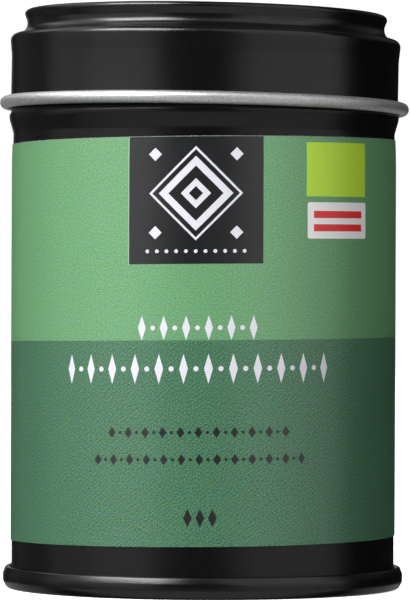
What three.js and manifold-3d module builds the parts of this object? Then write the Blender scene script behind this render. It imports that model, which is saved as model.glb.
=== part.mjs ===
// A small round spice tin of tinplate: a body with a double-seamed base, a slip lid with a rolled
// lower edge, a paper label wrapped round it, and the cut dried thyme that it holds.
// Units are millimetres and +Z is up. The front of the label faces -Y, and the origin is the
// centre of the base, on the surface that the tin stands on.
import * as THREE from "three";
import { mergeVertices } from "three/addons/utils/BufferGeometryUtils.js";
import Module from "manifold-3d";

const wasm = await Module();
wasm.setup();

// Driving dimensions
const sheet = 0.2; // thickness of the tinplate
const bodyRadius = 22.42; // outside of the body wall
const seamRadius = 23.42; // outside of the double seam at the base
const seamHeight = 2.54;
const seamGap = 0.12; // air between the folded layers of the seam
const baseRecess = 3.2; // the base panel stands this far above the surface
const beadRadius = 22.8; // the swelling of the body that stops the lid
const beadTop = 55.55;
const neckRadius = 22.2; // outside of the neck that the lid slips over
const mouthHeight = 63.8; // top of the body's rolled mouth
const lidRadius = 22.7; // outside of the lid's wall
const lidTop = 67.3; // top of the lid's ridge
const shoulderHeight = 64.5; // the step that another tin can stand on
const ridgeRadius = 21.29; // outside of the lid's ridge
const waistRadius = 20.95; // the groove rolled in under the ridge
const curlHeight = 56.4; // middle of the lid's rolled lower edge
const curlRadius = 23.97; // outside of that roll
const lidTilt = THREE.MathUtils.degToRad(0.87); // the lid sits a little lower on its +X side
const lidShift = 0.03; // and a little off the middle
const paper = 0.09; // thickness of the label
const labelBottom = 5.96;
const labelTop = 52.11;
const labelLap = 4; // how far the label's end covers its start, at the back
const labelSkew = 0.01; // rise of the crooked label, in mm for each mm round the tin towards +X
const fillHeight = 38.7; // level of 10 g of cut thyme

// Fineness
const sides = 48; // flats round every turned piece
const bendStep = Math.PI / 6;
const fillSides = 40;

const half = sheet / 2;
const lacquerColour = new THREE.Color(0x161617);
const tinplateColour = new THREE.Color(0xb4b5b6);

// A line through corners [radius, height, bend radius], with an arc at each corner that has a bend.
function bentLine(corners) {
  const at = corners.map(([r, z]) => new THREE.Vector2(r, z));
  const points = [at[0]];
  for (let i = 1; i < at.length - 1; i++) {
    const into = at[i].clone().sub(at[i - 1]).normalize();
    const away = at[i + 1].clone().sub(at[i]).normalize();
    const turn = Math.atan2(into.cross(away), into.dot(away));
    const bend = corners[i][2];
    const start = at[i].clone().addScaledVector(into, -bend * Math.tan(Math.abs(turn) / 2));
    const side = new THREE.Vector2(-into.y, into.x).multiplyScalar(Math.sign(turn) * bend);
    const centre = start.clone().add(side);
    const steps = Math.max(1, Math.round(Math.abs(turn) / bendStep));
    for (let k = 0; k <= steps; k++) {
      points.push(start.clone().rotateAround(centre, (turn * k) / steps));
    }
  }
  points.push(at[at.length - 1]);
  return points;
}

// The points of a line, moved sideways by a distance; to its left where the distance is positive.
function beside(line, distance) {
  return line.map((point, i) => {
    const before = line[Math.max(0, i - 1)];
    const after = line[Math.min(line.length - 1, i + 1)];
    const into = i > 0 ? point.clone().sub(before).normalize() : after.clone().sub(point).normalize();
    const away = i < line.length - 1 ? after.clone().sub(point).normalize() : into;
    const mitre = into.clone().add(away).normalize();
    const normal = new THREE.Vector2(-mitre.y, mitre.x);
    return point.clone().addScaledVector(normal, distance / mitre.dot(into));
  });
}

// A turned piece of tinplate whose middle follows a line. The face to the left of the line is
// lacquered black, and the other face is bare.
function turnedSheet(corners) {
  const line = bentLine(corners);
  const lacquered = beside(line, half);
  const bare = beside(line, -half).reverse();
  const onAxis = line[0].x === 0;
  const profile = onAxis ? [...lacquered, ...bare] : [...lacquered, ...bare, lacquered[0].clone()];
  const geometry = new THREE.LatheGeometry(profile.reverse(), sides).rotateX(Math.PI / 2);
  const colours = [];
  const bareUntil = profile.length - lacquered.length;
  for (let i = 0; i <= sides; i++) {
    profile.forEach((_, j) => colours.push(...(j < bareUntil ? tinplateColour : lacquerColour)));
  }
  geometry.setAttribute("color", new THREE.Float32BufferAttribute(colours, 3));
  return geometry;
}

// Body: one rolled sheet. From its hook inside the double seam it rises to the bead, steps in to
// the neck, and ends in a roll that turns inwards round the mouth.
function bodyGeometry() {
  const wall = bodyRadius - half;
  const hook = seamRadius - 2 * sheet - seamGap + half;
  const hookBend = 0.28;
  const foot = 2.6 * sheet + seamGap; // it stands a little above the base's rounded fold
  const neck = neckRadius - half;
  const roll = 0.9;
  const mouth = mouthHeight - half;
  return turnedSheet([
    [hook, seamHeight - 0.75],
    [hook, foot, hookBend],
    [wall, foot, hookBend],
    [wall, beadTop - 5.2, 2],
    [wall - 0.09, beadTop - 2.5, 1],
    [beadRadius - half, beadTop - 1.1, 0.8],
    [beadRadius - half, beadTop - half, 0.25],
    [neck, beadTop - half, 0.25],
    [neck, mouth, 0.4],
    [neck - roll, mouth, 0.4],
    [neck - roll, mouth - roll, 0.4],
    [neck - 0.35, mouth - roll],
  ].reverse());
}

// Base: a pressed end whose rim is folded round the body's hook, so that the two lock together.
function baseGeometry() {
  const panel = baseRecess + half;
  const chuckWall = bodyRadius - sheet - seamGap - half;
  const seamWall = seamRadius - half;
  const hook = bodyRadius + seamGap + half;
  const foot = 2.6 * sheet + seamGap;
  const top = seamHeight - half;
  return turnedSheet([
    [0, panel],
    [chuckWall, panel, 0.5],
    [chuckWall, half, 0.45],
    [seamWall - 0.42, half, 0.5],
    [seamWall, 0.85, 0.8],
    [seamWall, 1.7, 0.8],
    [seamWall - 0.24, top, 0.2],
    [hook, top, 0.22],
    [hook, foot + 1.5 * sheet + 0.1],
  ]);
}

// Lid: one drawn sheet with a sunk top panel, a ridge and a groove for stacking, a shoulder, and a
// wall whose lower edge is rolled outwards, so that its bare inner face shows all round.
function lidGeometry() {
  const ridgeTop = lidTop - half;
  const shoulder = shoulderHeight - half;
  const wall = lidRadius - half;
  const roll = curlRadius - half - wall;
  const rollBend = 0.6;
  return turnedSheet([
    [0, lidTop - 1.2],
    [20.2, lidTop - 1.2, 0.35],
    [20.38, ridgeTop, 0.26],
    [ridgeRadius + 0.03, ridgeTop, 0.38],
    [waistRadius - half, ridgeTop - 1.45, 0.7],
    [waistRadius - half, shoulder + 0.05, 0.9],
    [lidRadius + 0.14, shoulder - 0.05, 0.7],
    [wall, shoulder - 2.5, 3],
    [wall, curlHeight - roll / 2, rollBend],
    [wall + roll, curlHeight - roll / 2, rollBend],
    [wall + roll, curlHeight + roll / 2, rollBend],
    [wall + 0.4, curlHeight + roll / 2],
  ].reverse());
}

// Label: one strip of paper. It starts at the back, goes once round the body and laps over its own
// start, and it was put on a little crooked.
function labelGeometry() {
  const inside = bodyRadius + 0.03;
  const step = (2 * Math.PI) / sides;
  const lapAngle = labelLap / bodyRadius;
  const lift = paper + 0.02;
  const stations = Array.from({ length: sides }, (_, k) => [k * step, 0]);
  stations.push([sides * step - 0.05, 0]);
  stations.push([sides * step, lift], [(sides + 1) * step, lift], [sides * step + lapAngle, lift]);
  const ring = (radius) =>
    stations.map(([angle, raised]) => {
      const r = radius + raised;
      return new THREE.Vector2(-r * Math.sin(angle), r * Math.cos(angle));
    });
  const outline = new THREE.Shape([...ring(inside + paper), ...ring(inside).reverse()]);
  const geometry = new THREE.ExtrudeGeometry(outline, {
    depth: labelTop - labelBottom,
    bevelEnabled: false,
  }).translate(0, 0, labelBottom);
  const position = geometry.getAttribute("position");
  for (let i = 0; i < position.count; i++) {
    const x = position.getX(i);
    const y = position.getY(i);
    const covering = Math.hypot(x, y) > inside + paper + 0.01 && x <= 0;
    const angle = covering && y > 0 ? Math.PI + Math.atan2(-x, y) : Math.atan2(x, -y);
    position.setZ(i, position.getZ(i) + labelSkew * bodyRadius * angle);
  }
  return geometry;
}

function asSolid(geometry) {
  const bareGeometry = geometry.clone();
  bareGeometry.deleteAttribute("normal");
  bareGeometry.deleteAttribute("uv");
  const merged = mergeVertices(bareGeometry, 1e-4);
  return new wasm.Manifold(
    new wasm.Mesh({
      numProp: 3,
      vertProperties: new Float32Array(merged.attributes.position.array),
      triVerts: new Uint32Array(merged.index.array),
    }),
  );
}

function asGeometry(solid) {
  const { vertProperties, triVerts } = solid.getMesh();
  const geometry = new THREE.BufferGeometry();
  geometry.setAttribute("position", new THREE.BufferAttribute(vertProperties, 3));
  geometry.setIndex(new THREE.BufferAttribute(triVerts, 1));
  return geometry;
}

// Numbers from 0 to 1 in the same order every time.
function seededDraws(seed) {
  let state = seed;
  return () => {
    state = (state * 16807) % 2147483647;
    return state / 2147483647;
  };
}

// The level of the loose herb at a place: a low heap with soft lumps.
function fillLevel(x, y) {
  const heap = 1.4 * Math.cos((Math.hypot(x, y) / 21) * 1.5);
  const lumps = 0.5 * Math.sin(x * 0.42 + 0.6) * Math.cos(y * 0.37 - 0.4) + 0.3 * Math.sin(x * 0.9 - y * 0.7);
  return fillHeight - 0.8 + heap + lumps;
}

// Dried thyme: the settled mass of cut leaves, with rolled leaves and bits of stem lying in its top.
function thymeGeometry() {
  const radius = bodyRadius - sheet - 0.3;
  const floor = baseRecess + sheet + 0.3;
  const rings = 6;
  const profile = [new THREE.Vector2(0, floor), new THREE.Vector2(radius, floor)];
  for (let k = rings; k >= 0; k--) profile.push(new THREE.Vector2((radius * k) / rings, fillHeight));
  const mass = new THREE.LatheGeometry(profile, fillSides).rotateX(Math.PI / 2);
  const position = mass.getAttribute("position");
  for (let i = 0; i < position.count; i++) {
    if (position.getZ(i) > floor + 1) {
      position.setZ(i, fillLevel(position.getX(i), position.getY(i)));
    }
  }

  const draw = seededDraws(20417);
  const leafCount = 96;
  const leaves = Array.from({ length: leafCount }, (_, k) => {
    const reach = 18.6 * Math.sqrt((k + 0.5) / leafCount);
    const around = k * Math.PI * (3 - Math.sqrt(5));
    const x = reach * Math.cos(around);
    const y = reach * Math.sin(around);
    const isStem = k % 9 === 4;
    const length = isStem ? 3.6 + 1.4 * draw() : 2.6 + 1.6 * draw();
    const width = isStem ? 0.7 : 1 + 0.35 * draw();
    const leaf = new THREE.OctahedronGeometry(1).scale(length / 2, width / 2, 0.4 + 0.1 * draw());
    leaf.rotateX(draw() * 1.2).rotateY((draw() - 0.5) * 0.9).rotateZ(draw() * Math.PI);
    return asSolid(leaf.translate(x, y, fillLevel(x, y) - 0.25));
  });
  return asGeometry(wasm.Manifold.union([asSolid(mass), ...leaves]));
}

function tinplate(roughness) {
  return new THREE.MeshStandardMaterial({ vertexColors: true, roughness, metalness: 0.4 });
}

function piece(name, geometry, material) {
  const mesh = new THREE.Mesh(geometry, material);
  mesh.name = name;
  return mesh;
}

const paperMaterial = new THREE.MeshStandardMaterial({ color: 0x5a9d6c, roughness: 0.7, metalness: 0 });
const thymeMaterial = new THREE.MeshStandardMaterial({ color: 0x6d7048, roughness: 0.95, metalness: 0 });

const lid = piece("lid", lidGeometry().translate(0, 0, -curlHeight), tinplate(0.35));
lid.position.set(lidShift, 0, curlHeight);
lid.rotation.y = lidTilt;

const tin = new THREE.Group();
tin.add(
  piece("tin_body", bodyGeometry(), tinplate(0.35)),
  piece("base_end", baseGeometry(), tinplate(0.35)),
  lid,
  piece("paper_label", labelGeometry(), paperMaterial),
  piece("dried_thyme", thymeGeometry(), thymeMaterial),
);

export default tin;
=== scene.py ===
import math

import bpy
from mathutils import Matrix, Vector
from mathutils.geometry import delaunay_2d_cdt


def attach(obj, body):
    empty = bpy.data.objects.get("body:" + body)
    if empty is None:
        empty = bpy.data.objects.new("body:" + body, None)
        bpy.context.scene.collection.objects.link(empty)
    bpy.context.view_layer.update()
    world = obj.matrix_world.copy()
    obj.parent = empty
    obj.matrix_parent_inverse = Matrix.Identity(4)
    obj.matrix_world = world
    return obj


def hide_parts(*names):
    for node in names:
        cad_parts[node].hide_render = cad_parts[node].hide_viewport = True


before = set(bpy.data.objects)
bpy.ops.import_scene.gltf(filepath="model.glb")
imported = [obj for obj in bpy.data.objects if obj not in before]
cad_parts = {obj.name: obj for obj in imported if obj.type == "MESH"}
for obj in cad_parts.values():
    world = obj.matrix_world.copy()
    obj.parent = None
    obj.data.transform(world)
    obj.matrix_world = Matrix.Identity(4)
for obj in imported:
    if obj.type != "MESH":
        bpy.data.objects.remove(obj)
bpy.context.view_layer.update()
MM = 0.001  # sizes below are in millimetres, and Blender's are in metres

# Camera
# A long lens half a metre in front of the label, at a little under half of the tin's height.
# It is rolled a fifth of a degree, which makes the tin lean to the right by as much.
CAMERA_ROLL = math.radians(0.22)
camera = bpy.data.objects.new("camera", bpy.data.cameras.new("camera"))
bpy.context.collection.objects.link(camera)
bpy.context.scene.camera = camera
camera.data.sensor_width = 36
camera.data.lens = 257.6
camera.data.clip_start = 0.05
camera.data.clip_end = 20
camera.location = Vector((0.18, -504, 33.0)) * MM
looking_at = Vector((0.18, 0, 33.7)) * MM
looking = (looking_at - camera.location).to_track_quat("-Z", "Y").to_matrix().to_4x4()
camera.matrix_world = (
    Matrix.Translation(camera.location) @ looking @ Matrix.Rotation(CAMERA_ROLL, 4, "Z")
)
bpy.context.scene.view_settings.view_transform = "Standard"

# Tin body
# One sheet of tinplate, lacquered black outside and left bare inside, rolled to a tube and
# welded down the back. A swelling stops the lid, the neck above it takes the lid, the mouth is
# rolled inwards, and the foot is hooked into the base's seam.
SHEET = 0.2
HALF_SHEET = SHEET / 2
BODY_RADIUS = 22.42
TURNED_STEPS = 224
WELD_ANGLE = math.radians(128)  # from +X, so at the back and a little to the left
WELD_WIDTH = 0.7
WELD_RISE = 0.07
TOO_CLOSE = 0.004


def bent_line(corners, step=math.radians(10)):
    """A line through corners of radius, height and bend radius, with an arc round each bend."""
    at = [Vector(corner[:2]) for corner in corners]
    points = [at[0]]
    for before, here, after, corner in zip(at, at[1:], at[2:], corners[1:]):
        into = (here - before).normalized()
        away = (after - here).normalized()
        turn = math.atan2(into.x * away.y - into.y * away.x, into.dot(away))
        start = here - into * corner[2] * math.tan(abs(turn) / 2)
        centre = start + Vector((-into.y, into.x)) * math.copysign(corner[2], turn)
        steps = max(1, round(abs(turn) / step))
        for k in range(steps + 1):
            points.append(centre + Matrix.Rotation(turn * k / steps, 2) @ (start - centre))
    return points + [at[-1]]


def beside(line, distance):
    """A line's points moved sideways, to its left where the distance is positive."""
    moved = []
    for i, point in enumerate(line):
        before = line[max(i - 1, 0)]
        after = line[min(i + 1, len(line) - 1)]
        away = (after - point if i < len(line) - 1 else point - before).normalized()
        into = (point - before if i else after - point).normalized()
        mitre = (into + away).normalized()
        moved.append(point + Vector((-mitre.y, mitre.x)) * distance / mitre.dot(into))
    return moved


def without_repeats(points):
    """A line's points, without those that lie too close to the one before."""
    kept = [points[0]]
    for point in points[1:]:
        if (point - kept[-1]).length > TOO_CLOSE:
            kept.append(point)
    return kept


def turned_sheet(name, corners, lacquer, bare, place=Matrix(), weld=False):
    """Tinplate turned about its axis: a line's left side is lacquered and its right side bare."""
    line = without_repeats(bent_line(corners))
    profile = beside(line, HALF_SHEET) + beside(line, -HALF_SHEET)[::-1]
    profile = [Vector((round(r, 6), round(z, 6))) for r, z in profile]
    on_axis = [point.x == 0 for point in profile]
    last_lacquered = len(line) - 1
    angles = [2 * math.pi * k / TURNED_STEPS for k in range(TURNED_STEPS)]
    if weld:
        angles = [a for a in angles if abs(a - WELD_ANGLE) * BODY_RADIUS > WELD_WIDTH]
        edges = [WELD_WIDTH * k for k in (-0.9, -0.5, -0.36, 0, 0.36, 0.5, 0.9)]
        angles = sorted(angles + [WELD_ANGLE + edge / BODY_RADIUS for edge in edges])
    lengths = [0.0]
    for a, b in zip(profile, profile[1:] + profile[:1]):
        lengths.append(lengths[-1] + (b - a).length)

    verts = []
    for angle in angles:
        welded = weld and abs(angle - WELD_ANGLE) * BODY_RADIUS < WELD_WIDTH * 0.4
        rise = WELD_RISE if welded else 0
        for i, (r, z) in enumerate(profile):
            r += rise if i <= last_lacquered else -rise
            verts.append(place @ Vector((r * math.cos(angle), r * math.sin(angle), z)))
    count, rings = len(profile), len(angles)
    faces, marks, slots = [], [], []
    for ring in range(rings):
        after = (ring + 1) % rings
        turn, next_turn = angles[ring], angles[after] if after else 2 * math.pi + angles[0]
        for i in range(count):
            j = (i + 1) % count
            if on_axis[i] and on_axis[j]:
                continue
            face = [
                (ring, j, turn, lengths[i + 1]),
                (after, j, next_turn, lengths[i + 1]),
                (after, i, next_turn, lengths[i]),
                (ring, i, turn, lengths[i]),
            ]
            if on_axis[i]:
                del face[2]
            elif on_axis[j]:
                del face[0]
            faces.append([p if on_axis[p] else at * count + p for at, p, _, _ in face])
            marks.extend(n for _, _, angle, along in face for n in (angle * BODY_RADIUS, along))
            slots.append(0 if i < last_lacquered else 1)

    used = sorted({v for face in faces for v in face})
    new_index = {v: n for n, v in enumerate(used)}
    mesh = bpy.data.meshes.new(name)
    mesh.from_pydata(
        [verts[v] * MM for v in used], [], [[new_index[v] for v in face] for face in faces]
    )
    mesh.uv_layers.new(name="turned").data.foreach_set("uv", marks)
    mesh.polygons.foreach_set("material_index", slots)
    mesh.polygons.foreach_set("use_smooth", [True] * len(faces))
    mesh.set_sharp_from_angle(angle=math.radians(60))
    mesh.materials.append(lacquer)
    mesh.materials.append(bare)
    piece = bpy.data.objects.new(name, mesh)
    bpy.context.collection.objects.link(piece)
    return piece


def finish(name, colour, roughness, **sockets):
    """A new material with one Principled shader, what adds nodes to it and what wires them up."""
    material = bpy.data.materials.new(name)
    material.use_nodes = True
    tree = material.node_tree
    shader = tree.nodes["Principled BSDF"]
    shader.inputs["Base Color"].default_value = (*colour, 1)
    shader.inputs["Roughness"].default_value = roughness
    for socket, value in sockets.items():
        shader.inputs[socket.replace("_", " ")].default_value = value

    def node(kind, settings=None, **inputs):
        """A node. Each input takes a value or a node's output, and n6 means input number 6."""
        made = tree.nodes.new(kind)
        for key, value in (settings or {}).items():
            setattr(made, key, value)
        for key, value in inputs.items():
            numbered = key[0] == "n" and key[1:].isdigit()
            target = made.inputs[int(key[1:]) if numbered else key.replace("_", " ")]
            if isinstance(value, bpy.types.NodeSocket):
                tree.links.new(value, target)
            else:
                target.default_value = value
        return made

    def wire(**outputs):
        for socket, output in outputs.items():
            tree.links.new(output, shader.inputs[socket.replace("_", " ")])

    return material, node, wire


def noise(node, place, scale, detail, output="Fac"):
    return node("ShaderNodeTexNoise", Vector=place, Scale=scale, Detail=detail).outputs[output]


def between(node, value, low, high):
    """Maps a noise value, which mostly lies from 0.3 to 0.7, to a range."""
    spread = node(
        "ShaderNodeMapRange", Value=value, From_Min=0.3, From_Max=0.7, To_Min=low, To_Max=high
    )
    return spread.outputs["Result"]


def colour_between(node, value, dark, light):
    """Maps a noise value to a colour between a dark and a light one."""
    share = between(node, value, 0, 1)
    mix = node("ShaderNodeMix", {"data_type": "RGBA"}, n0=share, n6=(*dark, 1), n7=(*light, 1))
    return mix.outputs[2]


def bump(node, height, strength, distance, **over):
    """A surface raised by a height, over another bump where Normal is given."""
    made = node("ShaderNodeBump", Strength=strength, Distance=distance, Height=height, **over)
    return made.outputs["Normal"]


def black_lacquer(name, gloss, roughness):
    """Stoved satin lacquer: a faint orange peel, fine grain, and a little dust."""
    material, node, wire = finish(
        name, (0.0025, 0.0025, 0.0026), roughness, Specular_IOR_Level=gloss
    )
    place = node("ShaderNodeTexCoord").outputs["Object"]
    peel = noise(node, place, 1500, 2)
    grain = noise(node, place, 9000, 1)
    dust = noise(node, place, 120, 3)
    wire(
        Base_Color=colour_between(node, grain, (0.0004, 0.0004, 0.0004), (0.005, 0.005, 0.0052)),
        Roughness=between(node, dust, roughness - 0.03, roughness + 0.04),
        Normal=bump(node, grain, 0.4, 0.00003, Normal=bump(node, peel, 0.35, 0.000012)),
    )
    return material


def bare_tinplate():
    """Tin-coated steel, dulled by handling: a fine mottle, and lines round it from forming."""
    material, node, wire = finish("bare_tinplate", (0.53, 0.53, 0.52), 0.5, Metallic=1.0)
    turned = node("ShaderNodeUVMap", {"uv_map": "turned"}).outputs["UV"]
    drawn_out = node("ShaderNodeMapping", Vector=turned, Scale=(0.5, 6, 1)).outputs["Vector"]
    lines = noise(node, drawn_out, 1, 3)
    grain = noise(node, node("ShaderNodeTexCoord").outputs["Object"], 3600, 3)
    wire(
        Base_Color=colour_between(node, grain, (0.42, 0.44, 0.455), (0.63, 0.625, 0.595)),
        Roughness=between(node, lines, 0.46, 0.56),
        Normal=bump(node, grain, 0.5, 0.00007, Normal=bump(node, lines, 0.4, 0.00002)),
    )
    return material


lacquer = black_lacquer("black_lacquer", 0.31, 0.26)
tinplate = bare_tinplate()

SEAM_RADIUS = 23.42
SEAM_HEIGHT = 2.54
SEAM_GAP = 0.12
BODY_HOOK = SEAM_RADIUS - 2 * SHEET - SEAM_GAP + HALF_SHEET
BODY_FOOT = 2.6 * SHEET + SEAM_GAP
BODY_WALL = BODY_RADIUS - HALF_SHEET
NECK_WALL = 22.1
MOUTH_TOP = 63.7
body_line = [
    (NECK_WALL - 0.35, MOUTH_TOP - 0.9),
    (NECK_WALL - 0.9, MOUTH_TOP - 0.9, 0.42),
    (NECK_WALL - 0.9, MOUTH_TOP, 0.42),
    (NECK_WALL, MOUTH_TOP, 0.42),
    (NECK_WALL, 57.3, 2),
    (NECK_WALL + 0.23, 56.1, 1),
    (22.74, 55.17, 0.35),
    (22.71, 54.75, 0.45),
    (BODY_WALL - 0.07, 53.15, 1.2),
    (BODY_WALL, 50.35, 5),
    (BODY_WALL, BODY_FOOT, 0.28),
    (BODY_HOOK, BODY_FOOT, 0.28),
    (BODY_HOOK, SEAM_HEIGHT - 0.75),
]
tin_body = turned_sheet("tin_body_sheet", body_line, lacquer, tinplate, weld=True)
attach(tin_body, "root")
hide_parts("tin_body")

# Base end
# A pressed disc of the same sheet, sunk so that the tin stands on its rim alone. The rim is
# folded under the body's hook and rolled flat, which is the double seam. Rings stiffen the panel.
BASE_PANEL = 3.3
CHUCK_WALL = BODY_RADIUS - SHEET - SEAM_GAP - HALF_SHEET
SEAM_WALL = SEAM_RADIUS - HALF_SHEET
BASE_HOOK = BODY_RADIUS + SEAM_GAP + HALF_SHEET
base_line = [
    (0, BASE_PANEL - 0.3),
    (13.6, BASE_PANEL - 0.3, 0.5),
    (14.2, BASE_PANEL - 0.02, 0.5),
    (17.8, BASE_PANEL - 0.02, 0.5),
    (18.4, BASE_PANEL - 0.3, 0.5),
    (20.2, BASE_PANEL - 0.3, 0.5),
    (20.8, BASE_PANEL, 0.5),
    (CHUCK_WALL, BASE_PANEL, 0.45),
    (CHUCK_WALL, HALF_SHEET, 0.45),
    (SEAM_WALL - 0.42, HALF_SHEET, 0.5),
    (SEAM_WALL, 0.85, 0.8),
    (SEAM_WALL, 1.72, 0.6),
    (SEAM_WALL - 0.28, SEAM_HEIGHT - HALF_SHEET, 0.16),
    (BASE_HOOK, SEAM_HEIGHT - HALF_SHEET, 0.22),
    (BASE_HOOK, BODY_FOOT + 1.5 * SHEET + 0.1),
]
glossier_lacquer = black_lacquer("glossier_black_lacquer", 0.41, 0.23)
base_end = turned_sheet("base_end_sheet", base_line[::-1], glossier_lacquer, tinplate)
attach(base_end, "root")
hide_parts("base_end")

# Lid
# One drawn sheet that slips over the neck. A ridge and the groove under it let tins stack, the
# top panel is sunk, and the lower edge is rolled outwards, so that it shows the bare inner face.
# It was pushed on a little crooked, lower on the right. The panel is duller, from other tins on it.
LID_TOP = 67.3
RIDGE = LID_TOP - HALF_SHEET
SHOULDER = 64.5 - HALF_SHEET
LID_WALL = 22.6
CURL_HEIGHT = 56.4
CURL_REACH = 23.97 - HALF_SHEET - LID_WALL
CURL_BEND = 0.6
LID_TILT = math.radians(0.87)
LID_SHIFT = 0.03
lid_line = [
    (0, LID_TOP - 1.0),
    (17.7, LID_TOP - 1.0, 0.6),
    (18.3, LID_TOP - 1.2, 0.6),
    (20.2, LID_TOP - 1.2, 0.35),
    (20.38, RIDGE, 0.26),
    (21.32, RIDGE, 0.38),
    (20.85, RIDGE - 1.2, 0.45),
    (20.85, SHOULDER + 0.05, 1.3),
    (LID_WALL + 0.24, SHOULDER - 0.05, 0.72),
    (LID_WALL, 61.9, 3),
    (LID_WALL, CURL_HEIGHT - CURL_REACH / 2, CURL_BEND),
    (LID_WALL + CURL_REACH, CURL_HEIGHT - CURL_REACH / 2, CURL_BEND),
    (LID_WALL + CURL_REACH, CURL_HEIGHT + CURL_REACH / 2, CURL_BEND),
    (LID_WALL + 0.42, CURL_HEIGHT + CURL_REACH / 2 - 0.02),
]
crooked = (
    Matrix.Translation((LID_SHIFT, 0, CURL_HEIGHT))
    @ Matrix.Rotation(LID_TILT, 4, "Y")
    @ Matrix.Translation((0, 0, -CURL_HEIGHT))
)
PANEL_RADIUS = 20.2
lid = turned_sheet("lid_sheet", lid_line, glossier_lacquer, tinplate, place=crooked)
lid.data.materials.append(black_lacquer("dulled_black_lacquer", 0.2, 0.5))
for face in lid.data.polygons:
    if face.material_index == 0 and face.center.xy.length < PANEL_RADIUS * MM:
        face.material_index = 2
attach(lid, "root")
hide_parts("lid")

# Paper label
# A strip of coated paper, printed in two greens with a charcoal panel and two small patches. It
# is glued once round the body, a little crooked, and its end laps over its start at the back.
PAPER = 0.09
LABEL_BOTTOM = 5.96
LABEL_HEIGHT = 46.15
LABEL_SPLIT = 23.2  # where the dark green ends, above the label's lower edge
LABEL_SKEW = 0.01
LABEL_RADIUS = BODY_RADIUS + 0.03
HALF_ROUND = math.pi * LABEL_RADIUS
LAP = 4.0


def box_outline(low_x, low_y, high_x, high_y, round_by=0.0):
    """A rectangle's corners, anticlockwise, rounded where round_by is more than 0."""
    if not round_by:
        return [(low_x, low_y), (high_x, low_y), (high_x, high_y), (low_x, high_y)]
    corners = [
        (high_x - round_by, low_y + round_by, -90),
        (high_x - round_by, high_y - round_by, 0),
        (low_x + round_by, high_y - round_by, 90),
        (low_x + round_by, low_y + round_by, 180),
    ]
    return [
        (
            x + round_by * math.cos(math.radians(start + 30 * k)),
            y + round_by * math.sin(math.radians(start + 30 * k)),
        )
        for x, y, start in corners
        for k in range(4)
    ]


def lozenge(x, y, half_width, half_height):
    return [(x - half_width, y), (x, y - half_height), (x + half_width, y), (x, y + half_height)]


def dot(x, y, radius, sides=10):
    return [
        (
            x + radius * math.cos(2 * math.pi * k / sides),
            y + radius * math.sin(2 * math.pi * k / sides),
        )
        for k in range(sides)
    ]


def print_row(ink, x, y, step, count, lozenge_size, dot_radius):
    """A row of lozenges with a dot between each two, from the middle of the first one."""
    for k in range(count):
        at = x + k * step
        inks.append((ink, dot(at, y, dot_radius) if k % 2 else lozenge(at, y, *lozenge_size)))


LABEL_END = HALF_ROUND + LAP
PANEL_X, PANEL_Y = -0.88, 39.7  # the middle of the lozenges in the charcoal panel
PANEL_DOTS = 33.2
STROKE, STROKE_STEP = 0.8, 1.5
inks = [
    ("light_green", box_outline(-HALF_ROUND, LABEL_SPLIT, LABEL_END, LABEL_HEIGHT)),
    ("dark_green", box_outline(-HALF_ROUND, 0, LABEL_END, LABEL_SPLIT)),
    ("bare_gap", box_outline(-8.67, 31.72, -8.5, LABEL_HEIGHT)),
    ("charcoal", box_outline(-8.57, 31.77, 6.8, LABEL_HEIGHT)),
]
for half, ink in zip((5.3, 4.95, 4.2, 3.1, 1.7, 0.8), ("white", "charcoal") * 3):
    inks.append((ink, lozenge(PANEL_X, PANEL_Y, half, half)))
for side_x, side_y in ((-1, -1), (1, -1), (1, 1), (-1, 1)):
    inks.append(("white", lozenge(PANEL_X + side_x * 4.6, PANEL_Y + side_y * 4.4, 0.75, 0.75)))
for k in range(-5, 6):
    inks.append(("white", dot(PANEL_X + k * 1.1, PANEL_DOTS, 0.22)))
inks.append(("yellow_green", box_outline(12.16, 39.34, 21.5, 45.47)))
inks.append(("patch_white", box_outline(12.3, 34.57, 21.6, 38.69, 0.25)))
for low in (35.4, 35.4 + STROKE_STEP):
    inks.append(("red", box_outline(13.15, low, 20.75, low + STROKE)))
print_row("white", -7.0, 24.6, 1.27, 11, (0.46, 1.4), 0.28)
print_row("white", -16.2, 20.0, 1.4, 23, (0.5, 1.7), 0.3)
print_row("dark_ink", -10.6, 12.85, 1.01, 21, (0.46, 0.64), 0.2)
print_row("dark_ink", -12.4, 9.8, 1.0, 25, (0.46, 0.64), 0.2)
for k in range(3):
    inks.append(("dark_ink", lozenge(-1.7 + k * 1.4, 3.25, 0.5, 1.05)))
# A thin pale band printed along the label's top edge. It is partly the paper's white cut edge and
# partly a painted highlight that the edge catches.
inks.append(("cut_edge_highlight", box_outline(-HALF_ROUND, LABEL_HEIGHT - 0.07, LABEL_END, LABEL_HEIGHT)))

WAIST_START, WAIST_LENGTH = 49.35, 3.2  # where the wall draws in under the stop bead
WAIST_DEPTH = 0.09
LAP_RAMP = 2.0  # the strip rises over its own start in this length
LAP_GLUE = 0.02
LOOSE_LENGTH, LOOSE_LIFT = 1.5, 0.05  # the strip's end, which has come away a little
WELD_REACH = 1.1


def label_surface(across, up):
    """The label's inner face at a place of the flat strip, as radius, angle and height in mm."""
    angle = across / LABEL_RADIUS - math.pi / 2
    z = LABEL_BOTTOM + up + LABEL_SKEW * across
    waist = WAIST_DEPTH * max(0.0, min(1.0, (z - WAIST_START) / WAIST_LENGTH)) ** 1.6
    raised = max(0.0, min(1.0, (across - HALF_ROUND + LAP_RAMP) / LAP_RAMP))
    raised = raised * raised * (3 - 2 * raised) * (PAPER + LAP_GLUE)
    from_end = (LABEL_END - across) / LOOSE_LENGTH
    if from_end < 1:
        raised += LOOSE_LIFT * (1 - from_end) ** 2 * (1 + math.sin(up * 0.7) * 0.6)
    off_weld = (angle - WELD_ANGLE) % (2 * math.pi) * LABEL_RADIUS
    weld = WELD_RISE * max(0.0, 1 - (off_weld / WELD_REACH) ** 2)
    return LABEL_RADIUS - waist + raised + weld, angle, z


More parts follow.
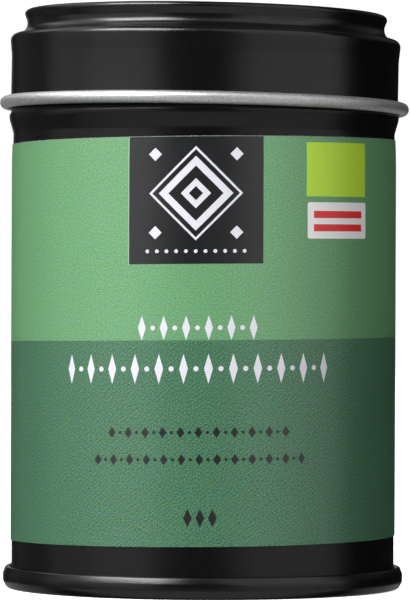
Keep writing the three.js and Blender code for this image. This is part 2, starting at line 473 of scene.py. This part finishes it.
CUT_COLUMNS = 200
CUT_HEIGHTS = (1.5, 6, 8, 11.5, 15.5, 18, 22.3, 26.5, 29, 33.8, 42, 43.2, 44.2, 45.2, 45.8)


def printed_paper():
    """The strip cut along the outlines of its print and bent round the body, as a closed mesh."""
    points, cuts, shapes = [], [], []
    for _, outline in inks:
        shapes.append(list(range(len(points), len(points) + len(outline))))
        points.extend(Vector(point) for point in outline)
    for k in range(CUT_COLUMNS + 1):
        x = -HALF_ROUND + (LABEL_END + HALF_ROUND) * k / CUT_COLUMNS
        cuts.append((len(points), len(points) + 1))
        points.extend((Vector((x, 0)), Vector((x, LABEL_HEIGHT))))
    for y in CUT_HEIGHTS:
        cuts.append((len(points), len(points) + 1))
        points.extend((Vector((-HALF_ROUND, y)), Vector((LABEL_END, y))))
    flat, _, triangles, _, _, owners = delaunay_2d_cdt(points, cuts, shapes, 0, 1e-5, True)

    names = list(dict.fromkeys(ink for ink, _ in inks))
    places, normals = [], []
    for back in (False, True):
        for point in flat:
            radius, angle, z = label_surface(*point)
            r = radius if back else radius + PAPER
            places.append(Vector((r * math.cos(angle), r * math.sin(angle), z)) * MM)
            outward = Vector((math.cos(angle), math.sin(angle), 0))
            normals.append(-outward if back else outward)
    count = len(flat)
    faces, slots, sides = [], [], []
    for triangle, owner in zip(triangles, owners):
        a, b, c = triangle
        if (flat[b] - flat[a]).cross(flat[c] - flat[a]) < 0:
            a, b, c = a, c, b
        faces.append((a, b, c))
        slots.append(names.index(inks[max(owner)][0]))
        faces.append((c + count, b + count, a + count))
        slots.append(len(names))
        sides.extend(((a, b), (b, c), (c, a)))
    shared = set(sides)
    for a, b in sides:
        if (b, a) not in shared:
            faces.append((b, a, a + count, b + count))
            slots.append(len(names))
    mesh = bpy.data.meshes.new("paper_label_print")
    mesh.from_pydata(places, [], faces)
    marks = mesh.uv_layers.new(name="flat")
    marks.data.foreach_set("uv", [n for face in faces for v in face for n in flat[v % count]])
    mesh.polygons.foreach_set("material_index", slots)
    mesh.polygons.foreach_set("use_smooth", [True] * len(faces))
    smooth = []
    for n, face in enumerate(faces):
        if len(face) == 4:
            smooth.extend([mesh.polygons[n].normal.copy()] * 4)
        else:
            smooth.extend(normals[v] for v in face)
    mesh.normals_split_custom_set(smooth)
    return names, mesh


def printed_ink(name, dark, light, tint=(0.06, 0, 0.06), rows=0.0, roughness=0.35):
    """Ink on coated paper. Its dots are too fine to see singly and leave a speckle of tints."""
    material, node, wire = finish(name, light, roughness, Specular_IOR_Level=0.72)
    flat = node("ShaderNodeUVMap", {"uv_map": "flat"}).outputs["UV"]
    grain = noise(node, flat, 6.6, 1)
    density = noise(node, flat, 0.25, 4)
    slanted = node("ShaderNodeMapping", Vector=flat, Rotation=(0, 0, math.radians(52)))
    screen = node("ShaderNodeTexWave", Vector=slanted.outputs["Vector"], Scale=0.8, Distortion=4)
    dots = node("ShaderNodeMix", n0=rows, n2=grain, n3=screen.outputs["Fac"]).outputs[0]
    tints = node(
        "ShaderNodeMapRange",
        {"data_type": "FLOAT_VECTOR"},
        Vector=noise(node, flat, 6.2, 1, "Color"),
        n7=(0.36, 0.36, 0.36),
        n8=(0.64, 0.64, 0.64),
        n9=[1 - t for t in tint],
        n10=[1 + t for t in tint],
    )
    inked = node(
        "ShaderNodeMix",
        {"data_type": "RGBA", "blend_type": "MULTIPLY"},
        n0=1,
        n6=colour_between(node, dots, dark, light),
        n7=tints.outputs["Vector"],
    )
    wire(
        Base_Color=inked.outputs[2],
        Roughness=between(node, density, roughness - 0.03, roughness + 0.03),
        Normal=bump(node, grain, 0.4, 0.00001, Normal=bump(node, density, 0.25, 0.00002)),
    )
    return material


label_names, label_mesh = printed_paper()
label_tones = {
    "light_green": ((0.086, 0.206, 0.095), (0.154, 0.379, 0.175), (0.44, 0, 0.44)),
    "dark_green": ((0.016, 0.042, 0.022), (0.087, 0.242, 0.135), (0.95, 0, 0.55), 0.08),
    "bare_gap": ((0.28, 0.42, 0.31), (0.34, 0.48, 0.37)),
    # The pale band at the top edge: partly cut-edge colour, partly painted highlight.
    "cut_edge_highlight": ((0.06, 0.08, 0.07), (0.3, 0.36, 0.31)),
    "charcoal": ((0.0026, 0.003, 0.0034), (0.0066, 0.0075, 0.0085)),
    "white": ((0.6, 0.6, 0.66), (0.7, 0.7, 0.75)),
    "yellow_green": ((0.44, 0.68, 0.03), (0.5, 0.76, 0.05), (0.1, 0, 0.3)),
    "patch_white": ((0.86, 0.86, 0.85), (0.91, 0.91, 0.9)),
    "red": ((0.68, 0.02, 0.02), (0.76, 0.03, 0.03)),
    "dark_ink": ((0.004, 0.006, 0.005), (0.009, 0.011, 0.01)),
}
for ink_name in label_names:
    label_mesh.materials.append(printed_ink("print_" + ink_name, *label_tones[ink_name]))
paper_core = printed_ink("paper_core", (0.68, 0.69, 0.66), (0.76, 0.77, 0.74), roughness=0.8)
label_mesh.materials.append(paper_core)
label = bpy.data.objects.new("paper_label_print", label_mesh)
bpy.context.collection.objects.link(label)
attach(label, "root")
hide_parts("paper_label")

# Dried thyme
# Ten grams of loose cut leaves, which fill a little over half of the tin. Nothing holds them.
herb, node, wire = finish("dried_herb", (0.15, 0.16, 0.08), 0.9)
crumbs = noise(node, node("ShaderNodeTexCoord").outputs["Object"], 900, 4)
wire(Base_Color=colour_between(node, crumbs, (0.07, 0.075, 0.035), (0.24, 0.24, 0.13)))
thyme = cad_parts["dried_thyme"]
thyme.data.materials.clear()
thyme.data.materials.append(herb)

# Floor
# A plain pale sweep that curves up all round, far enough out for a camera on any side. It doesn't
# show in the lacquer, as in the photograph, and throws no light back on the tin.
floor_paper = finish(
    "floor",
    (0.9, 0.9, 0.9),
    0.85,
    Specular_IOR_Level=0.1,
    Emission_Color=(1, 1, 1, 1),
    Emission_Strength=0.82,
)[0]
FLOOR_SIDES = 96
FLAT_REACH = 1.3
FLOOR_BEND = 0.9
bend = [math.radians(8 * k) for k in range(12)]
rings = [(0.1, 0), (0.5, 0)]
rings += [(FLAT_REACH + FLOOR_BEND * math.sin(a), FLOOR_BEND * (1 - math.cos(a))) for a in bend]
places, faces = [], [list(range(FLOOR_SIDES))]
for radius, height in rings:
    for k in range(FLOOR_SIDES):
        turn = 2 * math.pi * k / FLOOR_SIDES
        places.append((radius * math.cos(turn), radius * math.sin(turn), height))
for ring in range(len(rings) - 1):
    for k in range(FLOOR_SIDES):
        a, b = ring * FLOOR_SIDES + k, ring * FLOOR_SIDES + (k + 1) % FLOOR_SIDES
        faces.append((a, a + FLOOR_SIDES, b + FLOOR_SIDES, b))
floor_mesh = bpy.data.meshes.new("floor")
floor_mesh.from_pydata(places, [], faces)
floor_mesh.polygons.foreach_set("use_smooth", [True] * len(faces))
floor_mesh.materials.append(floor_paper)
floor = bpy.data.objects.new("floor", floor_mesh)
bpy.context.collection.objects.link(floor)
floor.visible_diffuse = False
floor.visible_glossy = False
floor.visible_shadow = False

# Lights
# Softboxes left and right leave a dark gap in front. Dimmer ones stand higher up and behind, a
# small bright key stands high on the left, and a light table under the tin shows in what faces
# down. All these only shine in glossy surfaces. The washes light the colours and don't shine.
TIN_MIDDLE = Vector((0, 0, 0.034))
TABLE_HEIGHT = -0.1


def softbox(name, azimuth, distance, height, size, radiance):
    """An even lamp that faces the tin. Azimuth 0 is in front, and it grows to the right."""
    a = math.radians(azimuth)
    place = Vector((distance * math.sin(a), -distance * math.cos(a), height))
    lamp = bpy.data.lights.new(name, "AREA")
    lamp.shape = "RECTANGLE"
    lamp.size, lamp.size_y = size
    lamp.energy = radiance * size[0] * size[1] * math.pi
    stand = bpy.data.objects.new(name, lamp)
    bpy.context.collection.objects.link(stand)
    stand.location = place
    stand.rotation_euler = (TIN_MIDDLE - place).to_track_quat("-Z", "Y").to_euler()
    stand.visible_camera = False
    return stand


shining = [
    softbox("left_softbox", -50, 0.7, 0.2, (0.6, 0.5), 0.95),
    softbox("left_softbox_middle", -88, 0.7, 0.2, (0.36, 0.5), 0.58),
    softbox("left_softbox_end", -126, 0.7, 0.2, (0.6, 0.5), 0.075),
    softbox("left_top_softbox", -108, 0.5, 0.55, (0.8, 0.4), 1.15),
    softbox("right_softbox", 54, 0.7, 0.2, (0.98, 0.5), 0.84),
    softbox("right_top_softbox", 48, 0.5, 0.6, (0.85, 0.5), 1.0),
    softbox("back_softbox", -174, 0.9, 0.1, (0.3, 0.8), 0.35),
    softbox("back_top_softbox", 180, 0.5, 0.85, (0.7, 0.5), 0.32),
    softbox("back_right_top_softbox", 132, 0.6, 0.32, (0.6, 0.3), 0.08),
    softbox("key", -50, 0.57, 0.6, (0.6, 0.34), 17),
]
for name, x, y, size, radiance in (
    ("light_table_front", 0.08, -0.33, (1.06, 0.6), 0.66),
    ("light_table_back", -0.1, 0.35, (0.9, 0.6), 0.3),
):
    table = softbox(name, 0, 0.1, 0.1, size, radiance)
    table.location = (x, y, TABLE_HEIGHT)
    table.rotation_euler = (math.pi, 0, 0)
    shining.append(table)
for lamp in shining:
    lamp.visible_diffuse = False
for lamp in (
    softbox("left_wash", -45, 0.9, 0.55, (0.5, 0.5), 21.5),
    softbox("right_wash", 32, 0.9, 0.45, (0.5, 0.5), 6),
    softbox("overhead_wash", 0, 0.01, 1.6, (1.6, 1.6), 0.7),
    softbox("back_wash", 176, 1.1, 0.6, (0.5, 0.5), 15),
):
    lamp.visible_glossy = False
world = bpy.data.worlds.new("studio")
bpy.context.scene.world = world
world.use_nodes = True
world.node_tree.nodes["Background"].inputs["Color"].default_value = (1, 1, 1, 1)
world.node_tree.nodes["Background"].inputs["Strength"].default_value = 0.008
